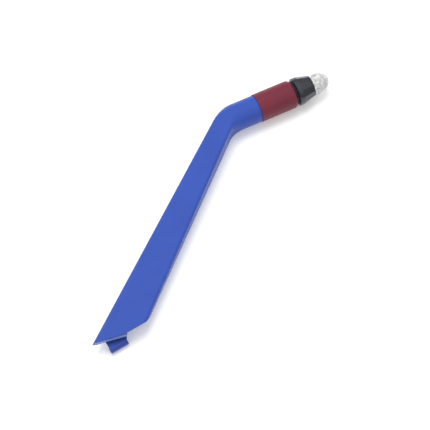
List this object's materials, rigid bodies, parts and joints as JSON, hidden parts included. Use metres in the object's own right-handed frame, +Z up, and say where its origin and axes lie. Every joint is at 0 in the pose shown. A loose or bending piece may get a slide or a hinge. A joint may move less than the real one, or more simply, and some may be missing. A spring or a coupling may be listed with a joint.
{
  "type": "bent-neck dental probe wand",
  "caption": "Blue tapering blade handle with an oblique clipped end, a bent round neck with a turning maroon sleeve, a black tapered nut and a clear textured light dome.",
  "frame": {"origin": "on the resting plane, under the middle of the wand's box", "axes": "+X along the handle blade from its pointed end to the elbow, +Z up from the resting plane, neck turned towards -Y"},
  "size_m": [0.1686, 0.046, 0.014],
  "materials": {
    "handle_blue": "satin",
    "edge_pale_blue": "satin",
    "clip_blue": "satin",
    "pin_steel": "satin",
    "screw_steel": "satin",
    "barrel_steel": "satin",
    "contact_brass": "polished",
    "ring_maroon": "satin",
    "seal_rubber": "matte",
    "nut_black": "gloss",
    "lens_clear": "gloss",
    "holder_white": "matte",
    "lead_tin": "satin",
    "led_clear": "gloss",
    "reflector_chrome": "polished",
    "spring_steel": "satin",
    "cell_steel": "polished",
    "sleeve_card": "matte"
  },
  "bodies": {
    "handle": {"handle_top_shell": "handle_blue", "handle_bottom_shell": "handle_blue", "shell_screws": "screw_steel", "edge_insert": "edge_pale_blue", "clip_pin": "pin_steel", "neck_barrel": "barrel_steel", "switch_contact": "contact_brass", "seal_ring": "seal_rubber", "contact_spring": "spring_steel", "cell_sleeve": "sleeve_card", "rear_spring": "spring_steel", "rear_contact": "contact_brass", "cell_rear": "cell_steel", "cell_middle": "cell_steel", "cell_front": "cell_steel"},
    "clip": {"spring_clip": "clip_blue"},
    "ring": {"switch_ring": "ring_maroon", "switch_wiper": "contact_brass"},
    "lamp": {"led_holder": "holder_white", "led_leads": "lead_tin", "led_body": "led_clear", "reflector": "reflector_chrome"},
    "nut": {"collar_nut": "nut_black", "lens_gasket": "seal_rubber", "lens_dome": "lens_clear"}
  },
  "joints": [
    {"name": "ring_turn", "type": "hinge", "parent": "handle", "child": "ring", "pos_m": [0.06044, -0.00187, 0.007], "axis": [0.7593, -0.6508, 0], "range_deg": [0, 45]},
    {"name": "lamp_slide", "type": "slide", "parent": "handle", "child": "lamp", "axis": [0.7593, -0.6508, 0], "range_m": [0, 0.003], "deforming": ["contact_spring"]},
    {"name": "nut_turn", "type": "hinge", "parent": "lamp", "child": "nut", "pos_m": [0.07335, -0.01293, 0.007], "axis": [0.7593, -0.6508, 0], "range_deg": [0, 1440]},
    {"name": "clip_flex", "type": "hinge", "parent": "handle", "child": "clip", "pos_m": [-0.03654, 0.0144, 0.00208], "axis": [0, -1, 0], "range_deg": [0, 6], "stiffness_Nm_per_rad": 0.6, "springref_deg": -2.86}
  ],
  "couplings": [
    {"joint": "nut_turn", "follows": "lamp_slide", "rad_per_m": 8377.6}
  ]
}
